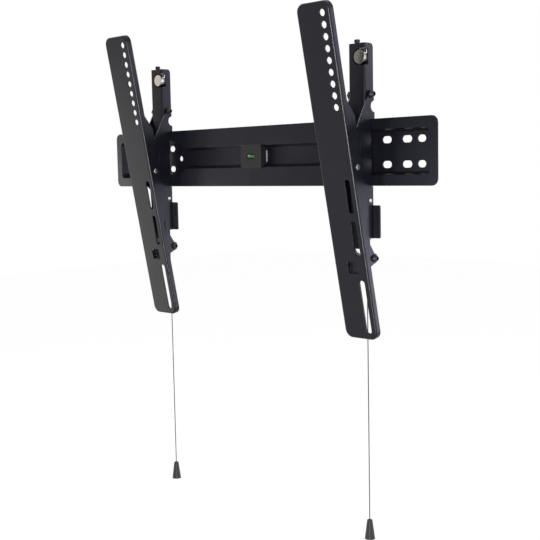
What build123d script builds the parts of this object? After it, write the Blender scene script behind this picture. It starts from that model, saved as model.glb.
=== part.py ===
from build123d import *
import math
import os

# Tilting television wall bracket, in millimetres.
# X runs along the wall plate, Y points into the wall and Z is up.
# The origin lies on the wall's face, at the middle of the wall plate.

# Wall plate: one pressed sheet
plate_length = 636.0
plate_height = 84.0
plate_depth = 14.0         # wall to the front of the rim
plate_sheet = 2.0
plate_corner = 9.0
end_rim = 12.0             # flat rim left at each end
side_rim = 13.5            # flat rim left above and below the end panels
panel_length = 126.5       # straight stretch of an end panel
taper_length = 32.5        # stretch where the panel narrows to the channel
channel_height = 31.0
wall_run = 3.5             # how far the pressed walls lean inwards
recess_corner = 6.0
slot_width = 8.8
slot_rows = 31.0           # distance between the upper and the lower row
outer_slot_length = 13.0
outer_slot_inset = 31.8    # from the plate's end to the slot's middle
long_slot_length = 15.5
long_slot_inset = 54.2
inner_slot_length = 15.0
inner_slot_inset = 85.8
near_slot_length = 13.0
near_slot_inset = 127.0
single_hole = 8.4
single_hole_inset = 147.5
mark_length = 11.0         # stamped centre mark on the lower rim
mark_width = 0.8
mark_depth = 0.3

# Bubble level
level_x = -2.0             # level's and centre mark's middle
level_width = 41.0
level_height = 34.0
level_proud = 2.0          # cover's thickness, in front of the rim
level_edge = 0.8
level_gap = 0.2            # between the level's body and the channel
window_length = 16.4
window_height = 7.4
vial_radius = 3.4
vial_cover = 1.2           # housing wall in front of the vial
carrier_height = 15.6
carrier_base = 3.0

# Arms: spacing of the rails' hole lines
arm_spacing = 400.0
arm_shift = 2.2            # middle of the two arms from the middle of the plate
arm_sheet = 2.0
side_gap = 0.2             # between the tower and the bracket's sides
rim_gap = 0.25             # between the hooks and the plate's rim

# Tower channel
tower_width = 26.0
tower_rise = 94.0          # above the plate's upper edge
tower_fall = 79.8          # below the plate's lower edge
tower_front = 10.3         # in front of the rim's face
tower_back = 7.3           # clear of the wall
tower_bend = 2.6
tower_round = 5.0
window_radius = 10.4
window_x = 4.7             # middle of the window's round end
window_wrap = 7.8          # window's reach round the bend, into the right side
window_corner = 3.0
window_drop = 17.0         # window's middle below the tower's head
ear_slot_width = 3.2
ear_slot_length = 19.2
dimple_radius = 2.2
dimple_drop = 80.0
dimple_depth = 0.6

# Level stud, its carrier and its screw
stud_x = 5.7
stud_radius = 8.5
stud_disc = 1.3
stud_proud = 1.7           # disc's face in front of the tower's web
neck_radius = 5.0
stud_shank_radius = 3.0
carrier_lift = 4.0         # travel of the carrier
ear_height = 14.0
carrier_block = 9.4        # depth of the carrier's block
carrier_plate = 2.0        # back of the carrier, which the neck seats on
carrier_lip = 5.6          # arch over the neck, behind the window
carrier_arch = 4.7         # depth of the arch
carrier_gap = 0.3
screw_radius = 2.5
screw_x = -4.1
screw_head_radius = 3.7
screw_head = 3.6
screw_collar = 1.8
screw_collar_radius = 2.9
thread_gap = 0.05

# Tilt bracket
hook_drop = 6.0            # how far the hooks reach behind the rim
hook_prong = 4.0
hook_rise = 8.5            # shoulder of the hook above the rim
notch_radius = 7.2
tip_radius = 5.0
tip_rise = 30.8            # upper bolt above the plate's upper edge
low_drop = 92.3            # lower bolt below the plate's lower edge
low_back = 3.4             # lower bolt behind the rim's face
low_radius = 6.5
web_reach = 4.9            # bracket's web in front of the pivot's axis
web_rise = 34.0
web_drop = 10.0
waist_front = 16.5         # side's front edge below the web, from the rim's face
waist_drop = 29.0
bottom_front = 9.9
bottom_drop = 21.0         # below the lower bolt
bottom_width = 3.5
heel_drop = 11.6           # rear corner below the lower bolt
stop_lip = 6.0             # lip bent out of the left side's lower end
bridge_rise = 4.0          # lower bridge's upper edge above the lower bolt
crease_reach = 12.0        # pressed crease in the sides, in front of the tower
crease_width = 1.2
crease_depth = 0.4
crease_length = 62.0
bracket_bend = 2.4
tab_width = 9.0
tab_height = 42.0
tab_drop = 24.6            # below the plate's lower edge
tab_back = 8.3             # clear of the wall
tab_corner = 2.5
cut_depth = 7.7            # bay under the tab, in front of the rim's face
cut_drop = 3.2

# Television rail
rail_length = 430.0
rail_width = 53.0
rail_sheet = 2.0
rail_flange = 8.8
rail_corner = 11.0
rail_bend = 2.6
lobe_depth = 19.5
lobe_up = 63.0
lobe_down = 59.5
lobe_ramp = 21.0
lobe_round = 6.0
hole_line = 11.5           # from the rail's right face to its hole line
hole_radius = 4.4
hole_count = 9
hole_pitch = 14.25
first_hole = 14.0
rail_slot_width = 8.6
upper_slot_from = 218.0
upper_slot_length = 43.5
middle_slot_from = 271.5
middle_slot_length = 46.0
lower_slot_from = 349.5
lower_slot_length = 71.5
square_from = 325.0
square_width = 17.0
square_height = 15.5
square_shift = 11.0        # square hole left of the hole line

# Tilt pivot
left_tilt = 10.8           # lean of the rails as shown, in degrees
right_tilt = 11.7
pivot_reach = 31.0         # pivot's axis in front of the rim's face
pivot_drop = 18.0          # below the plate's middle
pivot_from_top = 204.5     # along the rail
pivot_depth = 10.8         # behind the rail's face
pin_radius = 2.5
pin_gap = 0.05
pin_head_radius = 3.5
pin_head = 1.6
washer_radius = 7.0
washer = 0.8
spacer_radius = 4.5

# Bolts through the bracket and the tower
bolt_radius = 3.0
bolt_gap = 0.1
bolt_head_radius = 5.0
bolt_head = 5.0
bolt_land = 1.4            # straight edge of the head
bolt_crown = 2.8           # radius of the head's flat top
socket_flats = 4.0
socket_depth = 2.2
nut_flats = 10.0
nut_height = 5.0

# Latch, its rivet and its spring
latch_sheet = 2.4
latch_travel = 7.0
latch_hold = 5.0           # how far the finger reaches behind the lower rim
finger = 3.4
latch_gap = 0.5
latch_top = 4.0            # latch's shoulder below the plate's lower edge
latch_strip = 3.2
rivet_drop = 18.3          # latch rivet below the plate's lower edge
rivet_back = 4.0           # latch rivet in front of the rim's face
rivet_radius = 2.0
rivet_gap = 0.15
rivet_head_radius = 2.7
rivet_head = 1.2
spring_radius = 2.5        # outside
spring_wire = 0.7
spring_turns = 5
spring_facets = 12         # straight lengths in one turn
spring_length = 16.0
spring_top_drop = 58.0     # below the plate's lower edge
spring_back = 3.7          # spring's axis in front of the rim's face
shelf_width = 10.0
ear_width = 8.0
ear_sheet = 2.0
tail_strip = 2.0
tail_drop = 102.5          # underside of the latch below the plate's lower edge

# Cord and grip
cord_radius = 0.65
cord_back = 7.05           # cord's axis clear of the wall
cord_gap = 0.3
crimp_radius = 1.5
crimp_length = 3.0
grip_top = 481.5           # grip's upper end below the plate's middle
grip_height = 26.0
grip_top_radius = 3.4
grip_bottom_radius = 6.9
grip_pocket = 2.0

# Places that follow from the sizes above
rim_face = -plate_depth
rim_back = rim_face + plate_sheet
rim_top = plate_height / 2
rim_bottom = -plate_height / 2
side_inner = tower_width / 2 + side_gap
side_outer = side_inner + arm_sheet
pivot_y = rim_face - pivot_reach
pivot_z = -pivot_drop
tower_face = rim_face - tower_front
tower_web_back = tower_face + arm_sheet
tower_top = rim_top + tower_rise
tower_bottom = rim_bottom - tower_fall
tip_y = rim_face
tip_z = rim_top + tip_rise
low_y = rim_face + low_back
low_z = rim_bottom - low_drop
bottom_z = low_z - bottom_drop
rail_right = side_outer + washer + rail_sheet
rail_left = rail_right - rail_width
hole_x = rail_right - hole_line
rivet_y = rim_face - rivet_back
rivet_z = rim_bottom - rivet_drop
spring_y = rim_face - spring_back
spring_top = rim_bottom - spring_top_drop
cord_y = -cord_back
tail_z = rim_bottom - tail_drop
stud_z = tower_top - window_drop
carrier_y = tower_web_back + carrier_gap + carrier_block / 2
hook_front = rim_face - rim_gap
hook_back = rim_back + rim_gap
tab_z = rim_bottom - tab_drop - tab_height


def bar(x0, x1, y0, y1, z0, z1):
    """Box between the given limits."""
    middle = ((x0 + x1) / 2, (y0 + y1) / 2, (z0 + z1) / 2)
    return Pos(*middle) * Box(x1 - x0, y1 - y0, z1 - z0)


def rod_x(radius, x0, x1, y, z):
    """Cylinder along X."""
    turned = Pos(x0, y, z) * Rot(0, 90, 0)
    return turned * Cylinder(radius, x1 - x0, align=(Align.CENTER, Align.CENTER, Align.MIN))


def rod_y(radius, x, y0, y1, z):
    """Cylinder along Y."""
    turned = Pos(x, y0, z) * Rot(-90, 0, 0)
    return turned * Cylinder(radius, y1 - y0, align=(Align.CENTER, Align.CENTER, Align.MIN))


def rod_z(radius, x, y, z0, z1):
    """Cylinder along Z."""
    return Pos(x, y, z0) * Cylinder(radius, z1 - z0, align=(Align.CENTER, Align.CENTER, Align.MIN))


def side_face(points):
    """Flat face in the YZ plane from (y, z) corners."""
    return make_face(Plane.YZ * Polyline(*points, close=True))


def across(face, x0, x1):
    """YZ face extruded along X between two limits."""
    return Pos(x0, 0, 0) * extrude(face, x1 - x0, dir=(1, 0, 0))


def upright_slot(length, width):
    """Slot outline that stands along the second axis of its plane."""
    return Rot(0, 0, 90) * SlotOverall(length, width)


def edges_at(solid, y, axis=Axis.Z):
    """Straight edges of a solid along one axis that lie at the given depth."""
    return solid.edges().filter_by(axis).filter_by_position(Axis.Y, y - 0.01, y + 0.01)


# Wall plate
def recess_outline(grow):
    """Outline of the pressed recess, grown by the given distance."""
    end = plate_length / 2 - end_rim
    straight = end - panel_length
    narrow = straight - taper_length
    high = plate_height / 2 - side_rim
    low = channel_height / 2
    upper = [(end, high), (straight, high), (narrow, low), (-narrow, low), (-straight, high), (-end, high)]
    lower = [(x, -z) for x, z in reversed(upper)]
    face = make_face(Polyline(*upper, *lower, close=True))
    face = offset(face, amount=grow, kind=Kind.INTERSECTION)
    return fillet(face.vertices(), recess_corner)


def recess_block(front, back, front_grow, back_grow):
    """Solid between two recess outlines at two depths."""
    sections = [
        Plane.XZ.offset(-front) * recess_outline(front_grow),
        Plane.XZ.offset(-back) * recess_outline(back_grow),
    ]
    return loft(sections, ruled=True)


def wall_cut(sketch, x, z):
    """Cut through the plate's floor, from a sketch at (x, z)."""
    return extrude(Plane.XZ.offset(-1.0) * Pos(x, z) * sketch, amount=plate_sheet + 2.0)


def wall_plate():
    """Rim, pressed recess, wall slots and the stamped centre mark."""
    depth = plate_depth - plate_sheet
    lean = wall_run / depth
    skin = plate_sheet * math.hypot(1.0, lean)
    rim = extrude(
        Plane.XZ.offset(plate_depth) * RectangleRounded(plate_length, plate_height, plate_corner),
        amount=-plate_sheet,
    )
    outside = recess_block(rim_face, 0.0, skin, skin - lean * plate_depth)
    inside = recess_block(rim_face, -plate_sheet, 0.0, -wall_run)
    plate = rim + outside - inside
    columns = [
        (outer_slot_inset, outer_slot_length),
        (long_slot_inset, long_slot_length),
        (inner_slot_inset, inner_slot_length),
        (near_slot_inset, near_slot_length),
    ]
    for side in (-1, 1):
        for inset, length in columns:
            for row in (-1, 1):
                x = side * (plate_length / 2 - inset)
                plate -= wall_cut(SlotOverall(length, slot_width), x, row * slot_rows / 2)
        plate -= wall_cut(Circle(single_hole / 2), side * (plate_length / 2 - single_hole_inset), 0.0)
    mark_z = (rim_bottom - channel_height / 2) / 2
    half = mark_width / 2
    mark_end = mark_length / 2
    mark = bar(-half, half, rim_face - 1.0, rim_face + mark_depth, mark_z - mark_end, mark_z + mark_end)
    return plate - Pos(level_x, 0, 0) * mark


# Bubble level
def level_parts():
    """Housing, vial carrier and vial of the bubble level."""
    face = rim_face - level_proud
    floor = -plate_sheet
    half = level_width / 2
    reach = window_length / 2
    vial_y = face + vial_cover + vial_radius
    seat = floor - carrier_base
    body_height = channel_height - 2 * level_gap
    cover = bar(-half, half, face, rim_face, -level_height / 2, level_height / 2)
    cover = chamfer(cover.faces().sort_by(Axis.Y)[0].edges(), level_edge)
    sections = [
        Plane.XZ.offset(-rim_face) * Rectangle(level_width, body_height),
        Plane.XZ.offset(-floor) * Rectangle(level_width, body_height - 2 * wall_run),
    ]
    housing = cover + loft(sections, ruled=True)
    carrier = bar(-half, half, seat, floor, -carrier_height / 2, carrier_height / 2)
    carrier += bar(-reach, reach, vial_y, seat, -vial_radius, vial_radius)
    vial = rod_x(vial_radius, -reach, reach, vial_y, 0.0)
    housing -= carrier + vial
    window = SlotOverall(window_length, window_height)
    housing -= extrude(Plane.XZ.offset(-face) * window, amount=face - vial_y)
    parts = {"level_housing": housing, "level_carrier": carrier - vial, "level_vial": vial}
    return {name: Pos(level_x, 0, 0) * solid for name, solid in parts.items()}


# Tower channel
def tower(outline):
    """Folded channel with a closed head, cut back to the bracket's side outline below the upper bolt."""
    half = tower_width / 2
    inner = half - arm_sheet
    back = -tower_back
    shell = bar(-half, half, tower_face, back, tower_bottom, tower_top)
    shell = fillet(edges_at(shell, tower_face), tower_bend)
    rear = shell.edges().filter_by(Axis.X).filter_by_position(Axis.Y, back - 0.01, back + 0.01)
    shell = fillet(rear.sort_by(Axis.Z)[-1], tower_round)
    shell -= bar(-inner, inner, tower_web_back, back + 1.0, tower_bottom - 1.0, tower_top - arm_sheet)
    keep = across(outline, -half, half)
    keep += bar(-half, half, tower_face - 1.0, hook_front - arm_sheet, tower_bottom - 1.0, tip_z)
    keep += bar(-half, half, tower_face - 1.0, back + 1.0, tip_z, tower_top + 1.0)
    shell = shell & keep
    window = rod_y(window_radius, window_x, tower_face - 1.0, tower_web_back, stud_z)
    window_low = stud_z - window_radius
    window_high = stud_z + window_radius
    window += bar(window_x, inner, tower_face - 1.0, tower_web_back, window_low, window_high)
    shell -= window
    wrap = RectangleRounded(2 * window_wrap, 2 * window_radius, window_corner)
    wrap = Plane.YZ.offset(inner) * Pos(tower_face, stud_z) * wrap
    shell -= extrude(wrap, arm_sheet + 1.0)
    ear_slot = Plane.YZ * Pos(carrier_y, stud_z) * upright_slot(ear_slot_length, ear_slot_width)
    shell -= extrude(ear_slot, -half - 1.0)
    shell -= rod_z(screw_radius + bolt_gap, screw_x, carrier_y, tower_top - arm_sheet - 1.0, tower_top + 1.0)
    shell -= rod_y(dimple_radius, 0.0, tower_face - 1.0, tower_face + dimple_depth, tower_top - dimple_drop)
    shelf_top = spring_top - spring_length
    shelf_back = hook_front - 2 * latch_gap
    shelf_end = shelf_width / 2
    shell += bar(-shelf_end, shelf_end, tower_web_back, shelf_back, shelf_top - arm_sheet, shelf_top)
    return shell


# Tilt bracket
def bracket_outline():
    """Side outline of the tilt bracket, with its hook, bays and bolt ends."""
    web_front = pivot_y - web_reach
    tab_rear = -tab_back
    points = [
        (tip_y - tip_radius, tip_z),
        (web_front, pivot_z + web_rise),
        (web_front, pivot_z - web_drop),
        (rim_face - waist_front, pivot_z - waist_drop),
        (rim_face - bottom_front, bottom_z),
        (rim_face - bottom_front + bottom_width, bottom_z),
        (rim_face - bottom_front + bottom_width, low_z - heel_drop),
        (low_y, low_z - low_radius),
        (low_y, low_z + low_radius),
        (rim_face - cut_depth, tab_z - cut_drop),
        (rim_face - low_radius / 2, tab_z),
        (tab_rear, tab_z),
        (tab_rear, tab_z + tab_height),
        (hook_back, tab_z + tab_height),
        (hook_back, rim_bottom - rim_gap),
        (hook_front, rim_bottom - rim_gap),
        (hook_front, rim_top + thread_gap),
        (hook_back, rim_top + thread_gap),
        (hook_back, rim_top - hook_drop),
        (hook_back + hook_prong, rim_top - hook_drop),
        (hook_back + hook_prong, rim_top + hook_rise),
        (tip_y + tip_radius, tip_z),
    ]
    outline = side_face(points)
    outline += Plane.YZ * Pos(tip_y, tip_z) * Circle(tip_radius)
    outline += Plane.YZ * Pos(low_y, low_z) * Circle(low_radius)
    notch = Pos(hook_back + hook_prong, rim_top + hook_rise + notch_radius) * Circle(notch_radius)
    outline -= Plane.YZ * notch
    return outline


def tilt_bracket(outline):
    """Folded U: two sides joined by a short web, with a foot tab bent out of each side."""
    web_front = pivot_y - web_reach
    above = tip_z + tip_radius + 1.0
    solid = bar(-side_outer, side_outer, web_front, 0.0, bottom_z, above)
    solid = fillet(edges_at(solid, web_front), bracket_bend)
    solid -= bar(-side_inner, side_inner, web_front + arm_sheet, 1.0, bottom_z - 1.0, above + 1.0)
    solid = solid & across(outline, -side_outer, side_outer)
    bridge_front = rim_face - bottom_front
    bridge_top = low_z + bridge_rise
    lip = side_outer + stop_lip
    solid += bar(-lip, side_outer, bridge_front, bridge_front + arm_sheet, bottom_z, bridge_top)
    crease_y = tower_face - crease_reach
    for side in (-1, 1):
        crease = Box(2 * crease_depth, crease_width, crease_length)
        crease = Pos(side * side_outer, crease_y, pivot_z) * crease
        solid -= crease
    tab = bar(side_inner, side_outer + tab_width, -tab_back - arm_sheet, -tab_back, tab_z, tab_z + tab_height)
    tab_end = side_outer + tab_width
    outer = tab.edges().filter_by(Axis.Y).filter_by_position(Axis.X, side_outer + 1.0, tab_end + 1.0)
    tab = fillet(outer, tab_corner)
    solid += tab + mirror(tab, Plane.YZ)
    solid -= rod_x(pin_radius + pin_gap, -side_outer, side_outer, pivot_y, pivot_z)
    return solid


# Television rail
def rail_slot(from_top, length, x):
    """Upright slot outline on the rail's face, given by its distance from the rail's upper end."""
    return Pos(x, pivot_from_top - from_top - length / 2) * upright_slot(length, rail_slot_width)


def rail_upright():
    """Drawn channel whose walls run round its corners, upright, with the pivot's axis through the origin."""
    face = -pivot_depth
    top = pivot_from_top
    bottom = top - rail_length
    points = [
        (face, top),
        (face + rail_flange, top),
        (face + rail_flange, lobe_up + lobe_ramp),
        (face + lobe_depth, lobe_up),
        (face + lobe_depth, -lobe_down),
        (face + rail_flange, -lobe_down - lobe_ramp),
        (face + rail_flange, bottom),
        (face, bottom),
    ]
    outline = side_face(points)
    rear = face + rail_flange
    corners = outline.vertices().filter_by_position(Axis.Y, rear - 0.01, face + lobe_depth + 0.01)
    ends = corners.sort_by(Axis.Z)
    outline = fillet(ends[1:-1], lobe_round)
    middle = Pos((rail_left + rail_right) / 2, (top + bottom) / 2)
    blank = middle * RectangleRounded(rail_width, rail_length, rail_corner)
    rail = across(outline, rail_left, rail_right)
    rail = rail & extrude(Plane.XZ.offset(-face) * blank, amount=-lobe_depth - 1.0)
    rail = fillet(rail.faces().sort_by(Axis.Y)[0].edges(), rail_bend)
    inner_width = rail_width - 2 * rail_sheet
    inner_length = rail_length - 2 * rail_sheet
    hollow = middle * RectangleRounded(inner_width, inner_length, rail_corner - rail_sheet)
    rail -= extrude(Plane.XZ.offset(-face - rail_sheet) * hollow, amount=-lobe_depth)
    rail -= bar(
        rail_left + rail_corner,
        rail_right - rail_corner,
        face + rail_sheet,
        face + lobe_depth + 1.0,
        bottom - 1.0,
        top + 1.0,
    )
    heights = [top - first_hole - i * hole_pitch for i in range(hole_count)]
    openings = [Pos(hole_x, z) * Circle(hole_radius) for z in heights]
    openings.append(rail_slot(upper_slot_from, upper_slot_length, hole_x))
    openings.append(rail_slot(middle_slot_from, middle_slot_length, hole_x))
    openings.append(rail_slot(lower_slot_from, lower_slot_length, hole_x))
    square = Rectangle(square_width, square_height)
    openings.append(Pos(hole_x - square_shift, top - square_from - square_height / 2) * square)
    for opening in openings:
        rail -= extrude(Plane.XZ.offset(-face + 1.0) * opening, amount=-rail_sheet - 2.0)
    rail -= rod_x(pin_radius + pin_gap, rail_left - 1.0, rail_right + 1.0, 0.0, 0.0)
    return rail


def tv_rail(tilt):
    """Rail hung on the pivot at the given lean."""
    return Pos(0, pivot_y, pivot_z) * Rot(tilt, 0, 0) * rail_upright()


# Pins, bolts and washers
def headed_pin(radius, head_radius, head, x0, x1, y, z):
    """Rivet along X with a bevelled head at both ends."""
    right = rod_x(head_radius, x1, x1 + head, y, z)
    right = chamfer(right.edges().sort_by(Axis.X)[-1], head / 2)
    left = rod_x(head_radius, x0 - head, x0, y, z)
    left = chamfer(left.edges().sort_by(Axis.X)[0], head / 2)
    return rod_x(radius, x0, x1, y, z) + right + left


def pivot_parts():
    """Tilt rivet, friction washers and spacer tube."""
    rivet = headed_pin(pin_radius, pin_head_radius, pin_head, rail_left, rail_right, pivot_y, pivot_z)
    bore = rod_x(pin_radius + pin_gap, rail_left, rail_right, pivot_y, pivot_z)
    right = rod_x(washer_radius, side_outer, side_outer + washer, pivot_y, pivot_z) - bore
    left = rod_x(washer_radius, -side_outer - washer, -side_outer, pivot_y, pivot_z) - bore
    spacer = rod_x(spacer_radius, rail_left + rail_sheet, -side_outer - washer, pivot_y, pivot_z) - bore
    return {"tilt_rivet": rivet, "friction_washers": Compound([right, left]), "pivot_spacer": spacer}


def clamp_bolt(y, z):
    """Bolt with a crowned head and a hexagon socket, its head at the right side."""
    crown = Cone(
        bolt_head_radius, bolt_crown, bolt_head - bolt_land, align=(Align.CENTER, Align.CENTER, Align.MIN)
    )
    head = rod_x(bolt_head_radius, side_outer, side_outer + bolt_land, y, z)
    head += Pos(side_outer + bolt_land, y, z) * Rot(0, 90, 0) * crown
    hexagon = RegularPolygon(socket_flats / 2, 6, major_radius=False)
    socket = Plane.YZ.offset(side_outer + bolt_head) * Pos(y, z) * hexagon
    head -= extrude(socket, amount=-socket_depth)
    return head + rod_x(bolt_radius, -side_outer - nut_height, side_outer, y, z)


def clamp_nut(y, z):
    """Hexagon nut at the left side of a clamp bolt."""
    hexagon = Plane.YZ.offset(-side_outer) * Pos(y, z) * RegularPolygon(nut_flats / 2, 6, major_radius=False)
    nut = extrude(hexagon, amount=-nut_height)
    return nut - rod_x(bolt_radius, -side_outer - nut_height, -side_outer, y, z)


# Level stud, carrier and screw
def stud_parts():
    """Button stud, its sliding carrier and the screw that lifts it."""
    disc_face = tower_face - stud_proud
    block_front = tower_web_back + carrier_gap
    block_back = block_front + carrier_block
    seat = block_back - carrier_plate
    inner = tower_width / 2 - arm_sheet - carrier_gap
    low = stud_z - ear_slot_length / 2 + carrier_gap
    high = low + ear_height
    lip_top = high + carrier_lip
    disc = rod_y(stud_radius, stud_x, disc_face, disc_face + stud_disc, stud_z)
    disc = chamfer(disc.edges().sort_by(Axis.Y)[0], stud_disc / 4)
    stud = disc + rod_y(neck_radius, stud_x, disc_face + stud_disc, seat, stud_z)
    stud += rod_y(stud_shank_radius, stud_x, seat, block_back, stud_z)
    arch = stud_z + neck_radius + carrier_gap
    block = bar(-inner, stud_x - neck_radius - 2 * carrier_gap, block_front, block_back, low, lip_top)
    block += bar(-inner, inner, seat, block_back, low, high)
    block += bar(-inner, inner, block_front, block_front + carrier_arch, arch, lip_top)
    ear = upright_slot(ear_height, ear_slot_width - 2 * carrier_gap)
    block += extrude(Plane.YZ * Pos(carrier_y, low + ear_height / 2) * ear, -tower_width / 2)
    block -= rod_y(stud_shank_radius, stud_x, seat, block_back, stud_z)
    block -= rod_z(screw_radius + thread_gap, screw_x, carrier_y, low, lip_top)
    collar_top = tower_top + screw_collar
    head = rod_z(screw_head_radius, screw_x, carrier_y, collar_top, collar_top + screw_head)
    head = chamfer(head.edges().sort_by(Axis.Z)[-1], screw_head / 5)
    slot = Pos(screw_x, carrier_y, collar_top + screw_head) * Box(2 * screw_head_radius, 1.0, screw_head / 2)
    screw = head - slot + rod_z(screw_collar_radius, screw_x, carrier_y, tower_top, collar_top)
    screw += rod_z(screw_radius, screw_x, carrier_y, low - carrier_lift, tower_top)
    return {"level_stud": stud, "stud_carrier": block, "level_screw": screw}


# Latch
def latch_outline():
    """Side outline of the sliding latch, with its finger, spring notch, guide slot and tail."""
    front = tower_web_back + latch_gap
    finger_back = hook_back + finger
    rear = rim_face + latch_strip
    strip_front = spring_y + spring_radius + latch_gap
    shelf_bottom = spring_top - spring_length - arm_sheet - latch_gap
    tail_rear = low_y - bolt_radius - carrier_gap
    tail_front = tail_rear - tail_strip
    points = [
        (hook_back, rim_bottom + latch_hold),
        (finger_back, rim_bottom + latch_hold),
        (finger_back, rivet_z + latch_travel),
        (rear, rivet_z),
        (rear, spring_top - spring_length),
        (tail_rear, low_z + bolt_radius + latch_travel + latch_gap),
        (tail_rear, tail_z),
        (tail_front, tail_z),
        (tail_front, shelf_bottom),
        (strip_front, shelf_bottom),
        (strip_front, spring_top),
        (front, spring_top),
        (front, rim_bottom - latch_top),
        (hook_back, rim_bottom - latch_top),
    ]
    guide = rivet_radius + rivet_gap
    slot = upright_slot(latch_travel + 2 * guide, 2 * guide)
    return side_face(points) - Plane.YZ * Pos(rivet_y, rivet_z + latch_travel / 2) * slot


def latch():
    """Sliding plate with the finger at its head and a bent ear for the cord at its tail."""
    half = latch_sheet / 2
    plate = across(latch_outline(), -half, half)
    ear_front = low_y - bolt_radius - carrier_gap - tail_strip
    ear_back = cord_y + crimp_radius
    ear = bar(-ear_width / 2, ear_width / 2, ear_front, ear_back, tail_z, tail_z + ear_sheet)
    return plate + ear - rod_z(cord_radius + cord_gap, 0.0, cord_y, tail_z - 1.0, tail_z + ear_sheet + 1.0)


def latch_spring():
    """Compression spring between the tower's shelf and the latch, in short straight lengths."""
    radius = spring_radius - spring_wire / 2
    count = spring_turns * spring_facets
    step = 2 * math.pi / spring_facets
    rise = (spring_length - spring_wire) / count
    base = spring_top - spring_length + spring_wire / 2
    places = [(radius * math.cos(i * step), radius * math.sin(i * step), i * rise) for i in range(count + 1)]
    path = Polyline(*places)
    section = Plane(origin=path @ 0, z_dir=path % 0) * RegularPolygon(spring_wire / 2, 6)
    return Pos(0, spring_y, base) * sweep(section, path=path, transition=Transition.RIGHT)


# Cord and grip
def cord_parts():
    """Straight cord from the latch's ear to the grip, its crimps and the grip."""
    upper_crimp = tail_z + ear_sheet
    cord_top = upper_crimp + crimp_length
    grip_bottom = -grip_top - grip_height
    lower_crimp = grip_bottom + grip_pocket
    cord = rod_z(cord_radius, 0.0, cord_y, lower_crimp, cord_top)
    crimps = []
    for z in (upper_crimp, lower_crimp):
        crimps.append(rod_z(crimp_radius, 0.0, cord_y, z, z + crimp_length) - cord)
    foot = (Align.CENTER, Align.CENTER, Align.MIN)
    cone = Cone(grip_bottom_radius, grip_top_radius, grip_height, align=foot)
    cone = chamfer(cone.edges().sort_by(Axis.Z)[-1], grip_top_radius / 4)
    grip = Pos(0, cord_y, grip_bottom) * cone
    grip -= rod_z(cord_radius + cord_gap, 0.0, cord_y, grip_bottom, -grip_top)
    grip -= rod_z(crimp_radius + thread_gap, 0.0, cord_y, grip_bottom - 1.0, lower_crimp + crimp_length)
    return {"pull_cord": cord, "cord_crimps": Compound(crimps), "pull_grip": grip}


def arm_parts():
    """Every piece of one arm but its rail, with the bracket's middle at X zero."""
    outline = bracket_outline()
    bolts = [(tip_y, tip_z), (low_y, low_z)]
    bracket = tilt_bracket(outline)
    channel = tower(outline)
    for y, z in bolts:
        hole = rod_x(bolt_radius + bolt_gap, -side_outer, side_outer, y, z)
        bracket -= hole
        channel -= hole
    rivet_hole = rod_x(rivet_radius + bolt_gap, -side_outer, side_outer, rivet_y, rivet_z)
    parts = {"tilt_bracket": bracket - rivet_hole, "tower": channel - rivet_hole}
    parts["clamp_bolts"] = Compound([clamp_bolt(y, z) for y, z in bolts])
    parts["clamp_nuts"] = Compound([clamp_nut(y, z) for y, z in bolts])
    parts["latch"] = latch()
    parts["latch_spring"] = latch_spring()
    parts["latch_rivet"] = headed_pin(
        rivet_radius, rivet_head_radius, rivet_head, -side_outer, side_outer, rivet_y, rivet_z
    )
    parts.update(pivot_parts())
    parts.update(stud_parts())
    parts.update(cord_parts())
    return parts


def main():
    """Writes one file for each piece."""
    os.makedirs("parts", exist_ok=True)
    pieces = {"wall_plate": wall_plate()}
    pieces.update(level_parts())
    one_arm = arm_parts()
    sides = [("left", -arm_spacing / 2, left_tilt), ("right", arm_spacing / 2, right_tilt)]
    for side, place, tilt in sides:
        one_arm["tv_rail"] = tv_rail(tilt)
        for name, solid in one_arm.items():
            pieces[f"{name}_{side}"] = Pos(arm_shift + place, 0, 0) * solid
    for name, solid in pieces.items():
        export_step(solid, f"parts/{name}.step")


main()
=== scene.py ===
import logging
import math
from dataclasses import dataclass
from enum import Enum
from typing import Any, Dict, List, Sequence, Tuple

import bpy
from mathutils import Matrix, Vector


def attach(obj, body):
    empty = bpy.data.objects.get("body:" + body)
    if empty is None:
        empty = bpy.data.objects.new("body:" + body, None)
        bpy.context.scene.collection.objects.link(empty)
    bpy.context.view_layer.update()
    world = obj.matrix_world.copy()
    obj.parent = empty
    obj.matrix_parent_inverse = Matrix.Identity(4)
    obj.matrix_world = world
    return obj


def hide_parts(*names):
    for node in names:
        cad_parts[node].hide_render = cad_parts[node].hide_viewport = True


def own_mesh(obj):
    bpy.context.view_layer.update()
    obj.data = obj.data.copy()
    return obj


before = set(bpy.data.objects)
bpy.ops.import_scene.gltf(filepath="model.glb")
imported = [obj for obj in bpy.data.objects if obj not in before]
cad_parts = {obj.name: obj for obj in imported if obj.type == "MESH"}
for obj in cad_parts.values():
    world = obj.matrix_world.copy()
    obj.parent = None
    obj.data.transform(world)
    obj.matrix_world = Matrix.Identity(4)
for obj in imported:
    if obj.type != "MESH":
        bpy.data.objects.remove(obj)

LOG = logging.getLogger("wall_bracket")
MM = 0.001
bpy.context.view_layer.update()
NOISE_LOW = 0.3         # a noise texture seldom leaves this range
NOISE_HIGH = 0.7
WAVE_RATE = 20.0        # radians of a wave texture in one unit, at a scale of 1
BEVEL_SAMPLES = 4
WELD_GAP = 0.001        # corners this many mm apart are one
WHITE = "#ffffff"
COOL = "#e4e8ff"
Colour = Tuple[float, float, float, float]
Point = Tuple[float, float, float]


class Side(Enum):
    """The two arms, by the end of the wall plate they hang on, with each one's place along it."""

    LEFT = ("left", -197.8)
    RIGHT = ("right", 202.2)

    @property
    def tag(self) -> str:
        """Ending of the arm's node and body names."""
        return self.value[0]

    @property
    def place(self) -> float:
        """Middle of the arm along the wall plate, in mm."""
        return self.value[1]


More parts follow.
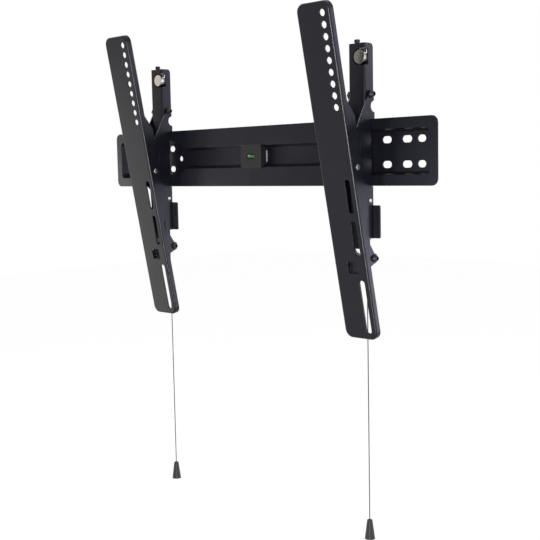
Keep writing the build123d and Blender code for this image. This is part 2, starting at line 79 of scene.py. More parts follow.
def both(*names: str) -> Tuple[str, ...]:
    """Node names of the given pieces on both arms."""
    return tuple(f"{name}_{side.tag}" for name in names for side in Side)


def linear(code: str) -> Colour:
    """Turn an sRGB hex value into a linear colour.

    Args:
        code: six hex digits after a hash sign.

    Returns:
        Red, green, blue and an alpha of 1.
    """
    parts = [int(code[i:i + 2], 16) / 255 for i in (1, 3, 5)]
    red, green, blue = [p / 12.92 if p <= 0.04045 else ((p + 0.055) / 1.055) ** 2.4 for p in parts]
    return (red, green, blue, 1.0)


def per_mm(size: float) -> float:
    """Scale of a noise or cell pattern whose features are that many mm across."""
    return 1.0 / (size * MM)


def wave_scale(gap: float) -> float:
    """Scale of a wave pattern whose crests lie that many mm apart."""
    return math.tau / (WAVE_RATE * gap * MM)


def metres(x: float, y: float, z: float) -> Vector:
    """Turn a point in mm into metres."""
    return Vector((x, y, z)) * MM


def add_node(tree: bpy.types.NodeTree, kind: str, inputs: Dict[Any, Any],
             **settings: Any) -> bpy.types.Node:
    """Add a node with its settings, and set or link its sockets.

    Args:
        tree: node tree that gets the node.
        kind: Blender's name of the node.
        inputs: value of a socket, or the output linked to it, by the socket's name or number.
        settings: the node's own properties.

    Returns:
        The new node.
    """
    node = tree.nodes.new(kind)
    for name, value in settings.items():
        setattr(node, name, value)
    for name, value in inputs.items():
        if isinstance(value, bpy.types.NodeSocket):
            tree.links.new(value, node.inputs[name])
        else:
            node.inputs[name].default_value = value
    return node


def new_tree(name: str) -> Tuple[bpy.types.Material, bpy.types.NodeTree]:
    """Make an empty node material.

    Args:
        name: the material's name.

    Returns:
        The material and its tree.
    """
    material = bpy.data.materials.new(name)
    material.use_nodes = True
    material.node_tree.nodes.clear()
    return material, material.node_tree


def dress(piece: bpy.types.Object, material: bpy.types.Material) -> None:
    """Give a piece one material all over."""
    piece.data.materials.clear()
    piece.data.materials.append(material)


def link_object(name: str, data: bpy.types.ID) -> bpy.types.Object:
    """Put new object data into the scene.

    Args:
        name: the object's name.
        data: mesh, curve, lamp or camera data.

    Returns:
        The object.
    """
    made = bpy.data.objects.new(name, data)
    bpy.context.scene.collection.objects.link(made)
    return made


def smooth_mesh(name: str, points: Sequence[Point],
                faces: Sequence[Sequence[int]]) -> bpy.types.Object:
    """Make a smooth-shaded mesh piece.

    Args:
        name: the piece's name.
        points: corners in metres.
        faces: corner numbers of each face.

    Returns:
        The new piece.
    """
    mesh = bpy.data.meshes.new(name)
    mesh.from_pydata([tuple(p) for p in points], [], [tuple(f) for f in faces])
    mesh.validate()
    mesh.shade_smooth()
    return link_object(name, mesh)


def turned(name: str, centre: Vector, profile: Sequence[Tuple[float, float]],
           count: int = 40) -> bpy.types.Object:
    """Make a piece turned about a line along X.

    Args:
        name: the piece's name.
        centre: middle of the piece, in metres.
        profile: place along X and radius of each ring in mm, with a radius of 0 at both ends.
        count: corners of a ring.

    Returns:
        The new piece.
    """
    points = []
    for x, radius in profile:
        for i in range(count):
            angle = math.tau * i / count
            points.append(centre + metres(x, radius * math.cos(angle), radius * math.sin(angle)))
    faces = []
    for ring in range(len(profile) - 1):
        a, b = ring * count, (ring + 1) * count
        for i in range(count):
            j = (i + 1) % count
            faces.append((a + i, a + j, b + j, b + i))
    piece = smooth_mesh(name, points, faces)
    piece.modifiers.new("weld", "WELD").merge_threshold = WELD_GAP * MM
    return piece


@dataclass(frozen=True)
class PowderCoat:
    """Satin polyester powder coat, baked on pressed steel.

    The melted powder leaves a faint orange peel, softens every cut edge and gives a broad, soft
    gloss. Sizes are in mm.
    """

    name: str = "powder_coated_steel"
    dark: str = "#12121a"
    light: str = "#191922"
    dark_below: float = 0.35
    light_above: float = 0.68
    rough_low: float = 0.27
    rough_high: float = 0.35
    gloss: float = 0.18
    ior: float = 1.5
    peel: float = 2.4           # orange peel, drawn about twice as coarse as real so that it shows
    peel_depth: float = 0.25
    peel_strength: float = 0.10
    grit: float = 0.55
    grit_depth: float = 0.08
    grit_strength: float = 0.08
    cloud: float = 45.0         # slow change of the film's thickness
    edge: float = 0.8           # rounding of the coated edges

    def build(self) -> bpy.types.Material:
        """Make the material.

        Returns:
            The new material.
        """
        material, tree = new_tree(self.name)
        place = add_node(tree, "ShaderNodeTexCoord", {}).outputs["Object"]
        peel = add_node(tree, "ShaderNodeTexNoise", {
            "Vector": place, "Scale": per_mm(self.peel), "Detail": 1.5})
        grit = add_node(tree, "ShaderNodeTexNoise", {
            "Vector": place, "Scale": per_mm(self.grit), "Detail": 2.0})
        cloud = add_node(tree, "ShaderNodeTexNoise", {
            "Vector": place, "Scale": per_mm(self.cloud), "Detail": 3.0})
        rough = add_node(tree, "ShaderNodeMapRange", {
            "Value": cloud.outputs["Fac"], "From Min": NOISE_LOW, "From Max": NOISE_HIGH,
            "To Min": self.rough_low, "To Max": self.rough_high})
        tint = add_node(tree, "ShaderNodeValToRGB", {"Fac": grit.outputs["Fac"]})
        tint.color_ramp.elements[0].position = self.dark_below
        tint.color_ramp.elements[0].color = linear(self.dark)
        tint.color_ramp.elements[1].position = self.light_above
        tint.color_ramp.elements[1].color = linear(self.light)
        edge = add_node(tree, "ShaderNodeBevel", {"Radius": self.edge * MM}, samples=BEVEL_SAMPLES)
        wave = add_node(tree, "ShaderNodeBump", {
            "Height": peel.outputs["Fac"], "Normal": edge.outputs["Normal"],
            "Strength": self.peel_strength, "Distance": self.peel_depth * MM})
        speck = add_node(tree, "ShaderNodeBump", {
            "Height": grit.outputs["Fac"], "Normal": wave.outputs["Normal"],
            "Strength": self.grit_strength, "Distance": self.grit_depth * MM})
        shader = add_node(tree, "ShaderNodeBsdfPrincipled", {
            "Base Color": tint.outputs["Color"], "Roughness": rough.outputs["Result"],
            "Normal": speck.outputs["Normal"], "IOR": self.ior, "Specular IOR Level": self.gloss})
        add_node(tree, "ShaderNodeOutputMaterial", {"Surface": shader.outputs["BSDF"]})
        return material


@dataclass(frozen=True)
class PlatedMetal:
    """Metal with a thin plated, blackened or drawn skin, as rivets, bolts and springs have.

    The skin follows the drawn metal below it, so the gloss is broken by fine streaks and small
    cloudy spots. Sizes are in mm.
    """

    name: str
    colour: str
    worn: str
    rough_low: float
    rough_high: float
    streak: float = 0.5         # drawing lines, as coarse as they need to show
    streak_depth: float = 0.05
    streak_strength: float = 0.08
    spot: float = 3.0
    edge: float = 0.2

    def build(self) -> bpy.types.Material:
        """Make the material.

        Returns:
            The new material.
        """
        material, tree = new_tree(self.name)
        place = add_node(tree, "ShaderNodeTexCoord", {}).outputs["Object"]
        spot = add_node(tree, "ShaderNodeTexNoise", {
            "Vector": place, "Scale": per_mm(self.spot), "Detail": 4.0})
        streak = add_node(tree, "ShaderNodeTexNoise", {
            "Vector": place, "Scale": per_mm(self.streak), "Detail": 2.0})
        tint = add_node(tree, "ShaderNodeMix", {
            0: spot.outputs["Fac"], 6: linear(self.colour), 7: linear(self.worn)},
            data_type="RGBA")
        rough = add_node(tree, "ShaderNodeMapRange", {
            "Value": streak.outputs["Fac"], "From Min": NOISE_LOW, "From Max": NOISE_HIGH,
            "To Min": self.rough_low, "To Max": self.rough_high})
        edge = add_node(tree, "ShaderNodeBevel", {"Radius": self.edge * MM}, samples=BEVEL_SAMPLES)
        bump = add_node(tree, "ShaderNodeBump", {
            "Height": streak.outputs["Fac"], "Normal": edge.outputs["Normal"],
            "Strength": self.streak_strength, "Distance": self.streak_depth * MM})
        shader = add_node(tree, "ShaderNodeBsdfPrincipled", {
            "Base Color": tint.outputs[2], "Roughness": rough.outputs["Result"],
            "Normal": bump.outputs["Normal"], "Metallic": 1.0})
        add_node(tree, "ShaderNodeOutputMaterial", {"Surface": shader.outputs["BSDF"]})
        return material


@dataclass(frozen=True)
class TurnedNickel:
    """Nickel-plated steel, faced on a lathe.

    The tool leaves rings round the axis, which draw the gloss out into two soft fans. The neck
    behind the head is duller, and its pale colour is a painted highlight for the light it catches.
    Sizes are in mm, apart from the centre of the head's back, which is in metres.
    """

    name: str
    centre: Point
    colour: str = "#7d7a72"
    rough_low: float = 0.16
    rough_high: float = 0.26
    # the neck's pale colour is a painted highlight, not a paler metal
    neck: str = "#dedcd6"
    neck_rough: float = 0.58
    neck_start: float = 0.1     # depth over which the head's finish gives way to the neck's
    ring: float = 3.456         # tool marks, drawn far coarser than the real feed so that they show
    ring_wander: float = 0.3
    ring_depth: float = 0.05
    ring_strength: float = 0.12
    edge: float = 0.25

    def build(self) -> bpy.types.Material:
        """Make the material.

        Returns:
            The new material.
        """
        material, tree = new_tree(self.name)
        place = add_node(tree, "ShaderNodeTexCoord", {}).outputs["Object"]
        axis = add_node(tree, "ShaderNodeVectorMath", {0: place, 1: self.centre},
                        operation="SUBTRACT")
        rings = add_node(tree, "ShaderNodeTexWave", {
            "Vector": axis.outputs["Vector"], "Scale": wave_scale(self.ring),
            "Distortion": self.ring_wander}, wave_type="RINGS", rings_direction="Y")
        face = add_node(tree, "ShaderNodeMapRange", {
            "Value": rings.outputs["Fac"], "To Min": self.rough_low, "To Max": self.rough_high})
        depth = add_node(tree, "ShaderNodeSeparateXYZ", {"Vector": axis.outputs["Vector"]})
        behind = add_node(tree, "ShaderNodeMapRange", {
            "Value": depth.outputs["Y"], "From Min": 0.0, "From Max": self.neck_start * MM})
        rough = add_node(tree, "ShaderNodeMix", {
            0: behind.outputs["Result"], 2: face.outputs["Result"], 3: self.neck_rough})
        # head colour, then the neck's pale colour, which is a painted highlight
        tint = add_node(tree, "ShaderNodeMix", {
            0: behind.outputs["Result"], 6: linear(self.colour), 7: linear(self.neck)},
            data_type="RGBA")
        edge = add_node(tree, "ShaderNodeBevel", {"Radius": self.edge * MM}, samples=BEVEL_SAMPLES)
        bump = add_node(tree, "ShaderNodeBump", {
            "Height": rings.outputs["Fac"], "Normal": edge.outputs["Normal"],
            "Strength": self.ring_strength, "Distance": self.ring_depth * MM})
        shader = add_node(tree, "ShaderNodeBsdfPrincipled", {
            "Base Color": tint.outputs[2], "Roughness": rough.outputs[0],
            "Normal": bump.outputs["Normal"], "Metallic": 1.0})
        add_node(tree, "ShaderNodeOutputMaterial", {"Surface": shader.outputs["BSDF"]})
        return material


@dataclass(frozen=True)
class MouldedPlastic:
    """Injection-moulded plastic with the fine spark-eroded grain of its tool.

    The grain scatters the gloss into an even, soft sheen. Sizes are in mm.
    """

    name: str
    dark: str
    light: str
    rough_low: float = 0.42
    rough_high: float = 0.55
    gloss: float = 0.4
    ior: float = 1.49
    grain: float = 0.6          # tool grain, drawn as coarse as it needs to show
    grain_depth: float = 0.06
    grain_strength: float = 0.10
    cloud: float = 5.4          # slow change where the melt cooled unevenly
    edge: float = 0.3

    def build(self) -> bpy.types.Material:
        """Make the material.

        Returns:
            The new material.
        """
        material, tree = new_tree(self.name)
        place = add_node(tree, "ShaderNodeTexCoord", {}).outputs["Object"]
        grain = add_node(tree, "ShaderNodeTexVoronoi", {
            "Vector": place, "Scale": per_mm(self.grain)})
        cloud = add_node(tree, "ShaderNodeTexNoise", {
            "Vector": place, "Scale": per_mm(self.cloud), "Detail": 3.0})
        tint = add_node(tree, "ShaderNodeMix", {
            0: cloud.outputs["Fac"], 6: linear(self.dark), 7: linear(self.light)},
            data_type="RGBA")
        rough = add_node(tree, "ShaderNodeMapRange", {
            "Value": cloud.outputs["Fac"], "From Min": NOISE_LOW, "From Max": NOISE_HIGH,
            "To Min": self.rough_low, "To Max": self.rough_high})
        edge = add_node(tree, "ShaderNodeBevel", {"Radius": self.edge * MM}, samples=BEVEL_SAMPLES)
        bump = add_node(tree, "ShaderNodeBump", {
            "Height": grain.outputs["Distance"], "Normal": edge.outputs["Normal"],
            "Strength": self.grain_strength, "Distance": self.grain_depth * MM})
        shader = add_node(tree, "ShaderNodeBsdfPrincipled", {
            "Base Color": tint.outputs[2], "Roughness": rough.outputs["Result"],
            "Normal": bump.outputs["Normal"], "IOR": self.ior, "Specular IOR Level": self.gloss})
        add_node(tree, "ShaderNodeOutputMaterial", {"Surface": shader.outputs["BSDF"]})
        return material


@dataclass(frozen=True)
class BraidedCord:
    """Braided polyester cord of dark yarns.

    The plaits run round the cord both ways and leave a diamond relief, with a painted highlight on
    its crests.
    Sizes are in mm.
    """

    name: str = "braided_polyester"
    dark: str = "#161618"
    # painted highlight on the plaits' crests
    light: str = "#3c3c3e"
    plait: float = 6.912        # plaits, drawn coarser than real so that they show
    plait_lean: float = 0.9     # radians
    plait_wander: float = 0.5
    plait_depth: float = 0.1
    plait_strength: float = 0.4
    rough: float = 0.75
    sheen: float = 0.2
    ior: float = 1.55

    def build(self) -> bpy.types.Material:
        """Make the material.

        Returns:
            The new material.
        """
        material, tree = new_tree(self.name)
        place = add_node(tree, "ShaderNodeTexCoord", {}).outputs["Object"]
        waves = []
        for lean in (self.plait_lean, -self.plait_lean):
            turn = add_node(tree, "ShaderNodeMapping", {
                "Vector": place, "Rotation": (0.0, lean, lean)})
            waves.append(add_node(tree, "ShaderNodeTexWave", {
                "Vector": turn.outputs["Vector"], "Scale": wave_scale(self.plait),
                "Distortion": self.plait_wander}))
        plait = add_node(tree, "ShaderNodeMath", {
            0: waves[0].outputs["Fac"], 1: waves[1].outputs["Fac"]}, operation="MULTIPLY")
        # the crests of the relief are painted paler, as a highlight
        tint = add_node(tree, "ShaderNodeMix", {
            0: plait.outputs["Value"], 6: linear(self.dark), 7: linear(self.light)},
            data_type="RGBA")
        bump = add_node(tree, "ShaderNodeBump", {
            "Height": plait.outputs["Value"], "Strength": self.plait_strength,
            "Distance": self.plait_depth * MM})
        shader = add_node(tree, "ShaderNodeBsdfPrincipled", {
            "Base Color": tint.outputs[2], "Roughness": self.rough,
            "Normal": bump.outputs["Normal"], "Sheen Weight": self.sheen, "IOR": self.ior})
        add_node(tree, "ShaderNodeOutputMaterial", {"Surface": shader.outputs["BSDF"]})
        return material


@dataclass(frozen=True)
class TintedFluid:
    """Tinted spirit in a clear acrylic vial.

    The wall's gloss lies over a colour that changes slowly from place to place.
    """

    name: str
    thick: str
    thin: str
    rough: float = 0.12
    ior: float = 1.49
    wall: float = 0.6           # gloss of the vial's wall
    wall_rough: float = 0.05
    swirl: float = 4.0          # slow change of the tint, in mm

    def build(self) -> bpy.types.Material:
        """Make the material.

        Returns:
            The new material.
        """
        material, tree = new_tree(self.name)
        place = add_node(tree, "ShaderNodeTexCoord", {}).outputs["Object"]
        swirl = add_node(tree, "ShaderNodeTexNoise", {
            "Vector": place, "Scale": per_mm(self.swirl), "Detail": 1.0})
        tint = add_node(tree, "ShaderNodeMix", {
            0: swirl.outputs["Fac"], 6: linear(self.thick), 7: linear(self.thin)},
            data_type="RGBA")
        shader = add_node(tree, "ShaderNodeBsdfPrincipled", {
            "Base Color": tint.outputs[2], "Roughness": self.rough, "IOR": self.ior,
            "Coat Weight": self.wall, "Coat Roughness": self.wall_rough})
        add_node(tree, "ShaderNodeOutputMaterial", {"Surface": shader.outputs["BSDF"]})
        return material


class Finishes:
    """Every finish on the bracket, made once and shared by its pieces."""

    def __init__(self) -> None:
        """Make the materials."""
        # near-black with a blue cast; the plate's long bends are rounder and its gloss duller
        self.coat = PowderCoat().build()
        self.pressing = PowderCoat("powder_coated_pressing", gloss=0.12, edge=1.4).build()
        # pale grey, dark grey and silver metal, each with a broken satin gloss
        self.zinc = PlatedMetal("zinc_plated_steel", "#abaaa4", "#8e8d88", 0.32, 0.46).build()
        self.oxide = PlatedMetal("black_oxide_steel", "#3c3c40", "#2c2c2f", 0.28, 0.42).build()
        self.sleeve = PlatedMetal("drawn_aluminium", "#c4c5c8", "#a4a5a8", 0.30, 0.45).build()
        # even and soft: the level's dark cover and pale carrier, the grips and the washers
        self.black = MouldedPlastic("moulded_abs", "#242426", "#29292b", gloss=0.16).build()
        self.grip = MouldedPlastic("moulded_polypropylene", "#232326", "#2c2c30").build()
        self.pale = MouldedPlastic("moulded_natural_abs", "#b4b3a9", "#c4c3ba").build()
        self.nylon = MouldedPlastic("moulded_nylon", "#2a2a2d", "#36363a").build()
        # dull, with a faint diamond relief
        self.cord = BraidedCord().build()
        # deep green, yellow-green and black under one clear gloss
        self.fluid = TintedFluid("vial_spirit", "#1a4a29", "#2f683b").build()
        self.bubble = TintedFluid("vial_bubble", "#7c8747", "#929c5a").build()
        self.line = TintedFluid("vial_line_ink", "#101214", "#1c1f22", 0.3).build()


@dataclass
class WallPlate:
    """The pressed wall plate and the bubble level in its channel, in mm."""

    level_x: float = -2.0
    vial_y: float = -11.4
    vial_length: float = 16.4
    vial_radius: float = 3.4
    end_round: float = 0.7
    end_steps: int = 6
    line_gap: float = 5.6
    line_width: float = 0.45
    line_flat: float = 0.8      # share of a line's width that is at the vial's full radius
    line_sink: float = 0.03
    bubble_x: float = -4.6
    bubble_length: float = 5.4
    bubble_radius: float = 2.1
    bubble_rise: float = 1.2
    bubble_front: float = 1.75
    bubble_steps: int = 16

    def dress(self, finishes: Finishes) -> None:
        """Give the solids of the plate and the level their finishes.

        Args:
            finishes: the bracket's materials.
        """
        dress(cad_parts["wall_plate"], finishes.pressing)
        dress(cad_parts["level_housing"], finishes.black)
        dress(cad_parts["level_carrier"], finishes.pale)

    def vial(self, finishes: Finishes) -> List[bpy.types.Object]:
        """Make the vial with its fluid, its bubble and its two lines.

        Args:
            finishes: the bracket's materials.

        Returns:
            The new pieces.
        """
        centre = metres(self.level_x, self.vial_y, 0.0)
        half, radius, soft = self.vial_length / 2, self.vial_radius, self.end_round
        bends = [math.pi / 2 * k / self.end_steps for k in range(self.end_steps + 1)]
        corner = [(half - soft + soft * math.sin(a), radius - soft + soft * math.cos(a))
                  for a in bends]
        far_end = [(-x, r) for x, r in reversed(corner)]
        tube = turned("vial_tube", centre, [(-half, 0.0)] + far_end + corner + [(half, 0.0)])
        dress(tube, finishes.fluid)
        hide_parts("level_vial")
        pieces = [tube]
        for name, side in (("vial_line_left", -1), ("vial_line_right", 1)):
            middle, wide = side * self.line_gap / 2, self.line_width / 2
            flat, out = wide * self.line_flat, radius - self.line_sink
            ring = [(middle - wide, 0.0), (middle - wide, out), (middle - flat, radius),
                    (middle + flat, radius), (middle + wide, out), (middle + wide, 0.0)]
            line = turned(name, centre, ring)
            dress(line, finishes.line)
            pieces.append(line)
        steps = [math.pi * k / self.bubble_steps for k in range(self.bubble_steps + 1)]
        shape = [(-self.bubble_length / 2 * math.cos(a), self.bubble_radius * math.sin(a))
                 for a in steps]
        place = centre + metres(self.bubble_x, -self.bubble_front, self.bubble_rise)
        bubble = turned("vial_bubble", place, shape)
        dress(bubble, finishes.bubble)
        pieces.append(bubble)
        for piece in pieces:
            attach(piece, "plate")
        return pieces

    def build(self, finishes: Finishes) -> List[bpy.types.Object]:
        """Dress the plate and make the vial.

        Args:
            finishes: the bracket's materials.

        Returns:
            The new pieces.
        """
        self.dress(finishes)
        return self.vial(finishes)


@dataclass
class PullCord:
    """The cord that hangs from the latch, with its sleeves and its grip, in mm."""

    side: Side
    depth: float = -7.05
    top: float = -139.5
    middle: float = -322.5
    bottom: float = -505.5
    radius: float = 0.65
    round_steps: int = 4
    run_steps: int = 24

    def build(self, finishes: Finishes) -> List[bpy.types.Object]:
        """Make the cord along its route and dress what is on it.

        Args:
            finishes: the bracket's materials.

        Returns:
            The cord.
        """
        tag, x = self.side.tag, self.side.place
        route = [metres(x, self.depth, z) for z in (self.top, self.middle, self.bottom)]
        data = bpy.data.curves.new(f"cord_{tag}", "CURVE")
        data.dimensions = "3D"
        data.bevel_depth = self.radius * MM
        data.bevel_resolution = self.round_steps
        data.use_fill_caps = True
        spline = data.splines.new("NURBS")
        spline.points.add(len(route) - 1)
        for point, place in zip(spline.points, route):
            point.co = (*place, 1.0)
        spline.order_u = len(route)
        spline.use_endpoint_u = True
        spline.resolution_u = self.run_steps
        cord = link_object(f"cord_{tag}", data)
        dress(cord, finishes.cord)
        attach(cord, f"latch_{tag}")
        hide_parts(f"pull_cord_{tag}")
        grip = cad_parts[f"pull_grip_{tag}"]
        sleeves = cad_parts[f"cord_crimps_{tag}"]
        dress(grip, finishes.grip)
        dress(sleeves, finishes.sleeve)
        return [cord]


@dataclass
class LatchSpring:
    """The latch's coil spring, between the tower's shelf and the latch's head, in mm."""

    side: Side
    depth: float = -17.7
    foot: float = -116.0
    length: float = 16.0
    travel: float = 7.0
    outside: float = 2.5
    wire: float = 0.7
    turns: int = 5
    closed_turns: float = 0.75  # at each end
    steps: int = 28             # points of a turn
    ring: int = 8               # corners round the wire

    def height(self, share: float) -> float:
        """Work out the rise of the wire, with the end coils closed.

        Args:
            share: share of the turns below the place, from 0 to 1.

        Returns:
            Height of the wire's middle above the foot, in mm.
        """
        closed = self.closed_turns / self.turns
        low, high = self.wire / 2, self.length - self.wire / 2
        flat = self.wire * self.closed_turns
        if share < closed:
            return low + flat * share / closed
        if share > 1 - closed:
            return high - flat * (1 - share) / closed
        return low + flat + (high - low - 2 * flat) * (share - closed) / (1 - 2 * closed)

    def build(self, finishes: Finishes) -> List[bpy.types.Object]:
        """Wind the spring and hang it on the arm.

        Args:
            finishes: the bracket's materials.

        Returns:
            The spring.
        """
        tag, count = self.side.tag, self.turns * self.steps
        radius, thick = (self.outside - self.wire / 2) * MM, self.wire / 2 * MM
        up = Vector((0, 0, 1))
        points, faces = [], []
        for k in range(count + 1):
            angle = math.tau * k / self.steps
            out = Vector((math.cos(angle), math.sin(angle), 0.0))
            rise = self.foot + self.height(k / count)
            middle = metres(self.side.place, self.depth, rise) + out * radius
            for i in range(self.ring):
                turn = math.tau * i / self.ring
                points.append(middle + (out * math.cos(turn) + up * math.sin(turn)) * thick)
        for k in range(count):
            a, b = k * self.ring, (k + 1) * self.ring
            for i in range(self.ring):
                j = (i + 1) % self.ring
                faces.append((a + i, b + i, b + j, a + j))
        faces.append(tuple(range(self.ring)))
        faces.append(tuple(reversed(range(count * self.ring, (count + 1) * self.ring))))
        coil = smooth_mesh(f"spring_coil_{tag}", points, faces)
        dress(coil, finishes.zinc)
        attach(coil, f"arm_{tag}")
        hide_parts(f"latch_spring_{tag}")
        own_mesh(coil)
        return [coil]


@dataclass
class Arm:
    """One arm: tower, tilting bracket, rail, latch and their fasteners, in mm."""

    side: Side
    stud_x: float = 5.7
    stud_z: float = 119.0
    stud_back: float = -24.7    # back of the stud's head

    def dress(self, finishes: Finishes) -> None:
        """Give the arm's solids their finishes.

        Args:
            finishes: the bracket's materials.
        """
        tag = self.side.tag
        centre = tuple(metres(self.side.place + self.stud_x, self.stud_back, self.stud_z))
        nickel = TurnedNickel(f"turned_nickel_{tag}", centre).build()
        looks = {
            finishes.coat: ("tv_rail", "tilt_bracket", "tower", "latch"),
            finishes.zinc: ("tilt_rivet", "pivot_spacer", "latch_rivet"),
            finishes.oxide: ("clamp_bolts", "clamp_nuts", "level_screw", "stud_carrier"),
            finishes.nylon: ("friction_washers",),
            nickel: ("level_stud",),
        }
        for material, names in looks.items():
            for name in names:
                dress(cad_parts[f"{name}_{tag}"], material)

    def build(self, finishes: Finishes) -> List[bpy.types.Object]:
        """Dress the arm and make its spring and cord.

        Args:
            finishes: the bracket's materials.

        Returns:
            The new pieces.
        """
        self.dress(finishes)
        return LatchSpring(self.side).build(finishes) + PullCord(self.side).build(finishes)


@dataclass(frozen=True)
class Lamp:
    """A soft rectangular lamp, with its place and size in metres and its power in watts."""

    name: str
    place: Point
    size: Tuple[float, float]
    power: float
    tint: str = WHITE
    pieces: Tuple[str, ...] = ()    # nodes whose gloss it shows in, where it doesn't light all
    shadow: bool = True

    def hang(self, aim: Vector) -> None:
        """Hang the lamp.

        Args:
            aim: point in metres that it faces.
        """
        data = bpy.data.lights.new(self.name, "AREA")
        data.shape = "RECTANGLE"
        data.size, data.size_y = self.size
        data.energy = self.power
        data.color = linear(self.tint)[:3]
        data.use_shadow = self.shadow
        # gloss rays stop at the metal that a shadowless lamp shines through, so they aren't used
        data.cycles.use_multiple_importance_sampling = self.shadow
        lamp = link_object(self.name, data)
        lamp.location = self.place
        lamp.visible_camera = False
        lamp.visible_diffuse = not self.pieces
        if self.pieces:
            lit = bpy.data.collections.new(f"{self.name}_lit")
            for piece in self.pieces:
                lit.objects.link(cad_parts[piece])
            lamp.light_linking.receiver_collection = lit
        lamp.rotation_euler = (aim - Vector(self.place)).to_track_quat("-Z", "Y").to_euler()


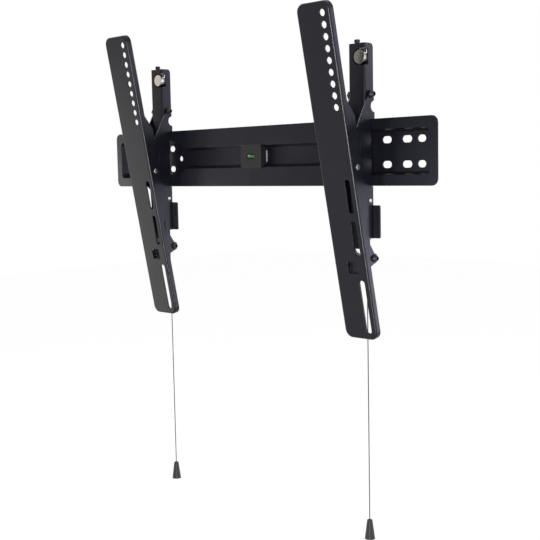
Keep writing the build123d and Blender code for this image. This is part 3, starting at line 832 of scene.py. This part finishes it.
@dataclass
class Studio:
    """White set, soft lamps and the camera of the photograph, in mm and degrees."""

    camera_place: Point = (1039.71, -1011.85, -17.36)
    yaw: float = 45.31
    pitch: float = 5.72
    roll: float = -1.14
    lens: float = 67.67
    sensor: float = 36.0
    far_metres: float = 50.0
    aim: Point = (0.0, 0.0, -50.0)
    soft_light: float = 0.45
    floor_z: float = -800.0
    floor_half: float = 6000.0
    floor_paint: str = "#f4f4f4"
    floor_shade: str = "#8a8a8a"
    floor_glow: float = 0.87
    lamps: Tuple[Lamp, ...] = (
        Lamp("softbox_left", (-1.36, -0.58, -0.40), (0.4, 0.8), 3.1, "#fff8f0"),
        Lamp("softbox_right_low", (1.6, 1.7, -0.47), (1.2, 0.5), 13.0, COOL),
        Lamp("softbox_right_high", (1.6, 1.7, 0.55), (1.2, 0.5), 8.0, COOL),
        Lamp("softbox_front", (1.1, -1.3, -0.25), (0.3, 0.9), 16.0),
        # lines of light along the rails' bends and the brackets' cut edges
        Lamp("strip_front", (0.95, -1.04, -0.35), (0.07, 0.9), 38.0, pieces=both("tv_rail")),
        Lamp("strip_left_high", (-1.10, -0.62, 1.09), (0.45, 0.35), 9.0,
             pieces=both("tilt_bracket")),
        # the plate: bends that face down, its front, its right end and its left recess's end wall
        Lamp("strip_left_low", (-0.94, -0.475, -0.675), (0.3, 0.2), 2.7, pieces=("wall_plate",)),
        Lamp("softbox_plate", (-1.54, -0.66, -0.20), (0.4, 0.6), 5.0, pieces=("wall_plate",)),
        Lamp("strip_end", (0.08, -0.36, -0.05), (0.05, 0.12), 0.16, "#dfe3ff",
             pieces=("wall_plate",)),
        Lamp("fill_recess", (1.30, 0.08, 0.0), (0.4, 0.4), 2.6, pieces=("wall_plate",),
             shadow=False),
        # what shows through the rails' slots
        Lamp("fill_slots", (-1.00, -1.08, -0.22), (0.9, 0.3), 0.8,
             pieces=both("tower", "tilt_bracket"), shadow=False),
        Lamp("softbox_stud", (-1.28, -0.91, 0.19), (0.5, 0.5), 1.4, pieces=("level_stud_left",)),
        Lamp("softbox_top", (0.2, -0.6, 2.2), (2.0, 1.4), 12.0),
    )

    def camera(self) -> None:
        """Place the camera."""
        yaw, pitch, roll = (math.radians(a) for a in (self.yaw, self.pitch, self.roll))
        ahead = Vector((-math.sin(yaw) * math.cos(pitch), math.cos(yaw) * math.cos(pitch),
                        -math.sin(pitch)))
        level = Vector((math.cos(yaw), math.sin(yaw), 0.0))
        rise = level.cross(ahead)
        right = level * math.cos(roll) + rise * math.sin(roll)
        up = rise * math.cos(roll) - level * math.sin(roll)
        data = bpy.data.cameras.new("camera")
        data.lens = self.lens
        data.sensor_width = self.sensor
        data.clip_end = self.far_metres
        camera = link_object("camera", data)
        turn = Matrix((right, up, -ahead)).transposed().to_4x4()
        camera.matrix_world = Matrix.Translation(metres(*self.camera_place)) @ turn
        bpy.context.scene.camera = camera

    def white_surface(self, tree: bpy.types.NodeTree, lit: bpy.types.NodeSocket,
                      white: bpy.types.NodeSocket, end: str) -> None:
        """Show plain white to the camera and to mirrors, and another shader to all other light.

        Args:
            tree: tree of the world or of the floor's material.
            lit: shader for all other light.
            white: shader that the camera sees.
            end: Blender's name of the output node.
        """
        path = add_node(tree, "ShaderNodeLightPath", {})
        seen = add_node(tree, "ShaderNodeMath", {
            0: path.outputs["Is Camera Ray"], 1: path.outputs["Is Glossy Ray"]},
            operation="MAXIMUM")
        seen = add_node(tree, "ShaderNodeMath", {
            0: seen.outputs["Value"], 1: path.outputs["Is Transmission Ray"]},
            operation="MAXIMUM")
        mix = add_node(tree, "ShaderNodeMixShader", {0: seen.outputs["Value"], 1: lit, 2: white})
        add_node(tree, end, {"Surface": mix.outputs["Shader"]})

    def world(self) -> None:
        """Make the even light all round."""
        world = bpy.data.worlds.new("white_studio")
        world.use_nodes = True
        tree = world.node_tree
        tree.nodes.clear()
        soft = add_node(tree, "ShaderNodeBackground", {
            "Color": linear(WHITE), "Strength": self.soft_light})
        white = add_node(tree, "ShaderNodeBackground", {"Color": linear(WHITE), "Strength": 1.0})
        self.white_surface(tree, soft.outputs["Background"], white.outputs["Background"],
                           "ShaderNodeOutputWorld")
        bpy.context.scene.world = world

    def floor(self) -> None:
        """Lay the pale floor, well below the hanging grips."""
        half = self.floor_half
        corners = [metres(x, y, self.floor_z)
                   for x, y in ((-half, -half), (half, -half), (half, half), (-half, half))]
        floor = smooth_mesh("studio_floor", corners, [(0, 1, 2, 3)])
        material, tree = new_tree("painted_studio_floor")
        lit = add_node(tree, "ShaderNodeBsdfDiffuse", {"Color": linear(self.floor_paint)})
        shade = add_node(tree, "ShaderNodeBsdfDiffuse", {"Color": linear(self.floor_shade)})
        white = add_node(tree, "ShaderNodeEmission", {
            "Color": linear(WHITE), "Strength": self.floor_glow})
        whole = add_node(tree, "ShaderNodeAddShader", {
            0: shade.outputs["BSDF"], 1: white.outputs["Emission"]})
        self.white_surface(tree, lit.outputs["BSDF"], whole.outputs["Shader"],
                           "ShaderNodeOutputMaterial")
        dress(floor, material)

    def build(self) -> None:
        """Set up the camera, the lamps, the world and the floor."""
        self.camera()
        for lamp in self.lamps:
            lamp.hang(metres(*self.aim))
        self.world()
        self.floor()
        bpy.context.scene.view_settings.view_transform = "Standard"


def save_sizes() -> None:
    """Bring the scene's placements up to date."""
    bpy.context.view_layer.update()


def main() -> None:
    """Build the studio, the wall plate and both arms."""
    logging.basicConfig(level=logging.INFO, format="%(message)s")
    Studio().build()
    finishes = Finishes()
    pieces = WallPlate().build(finishes)
    for side in Side:
        pieces += Arm(side).build(finishes)
    for piece in pieces:
        LOG.info("built %s", piece.name)
    save_sizes()


if __name__ == "__main__":
    main()
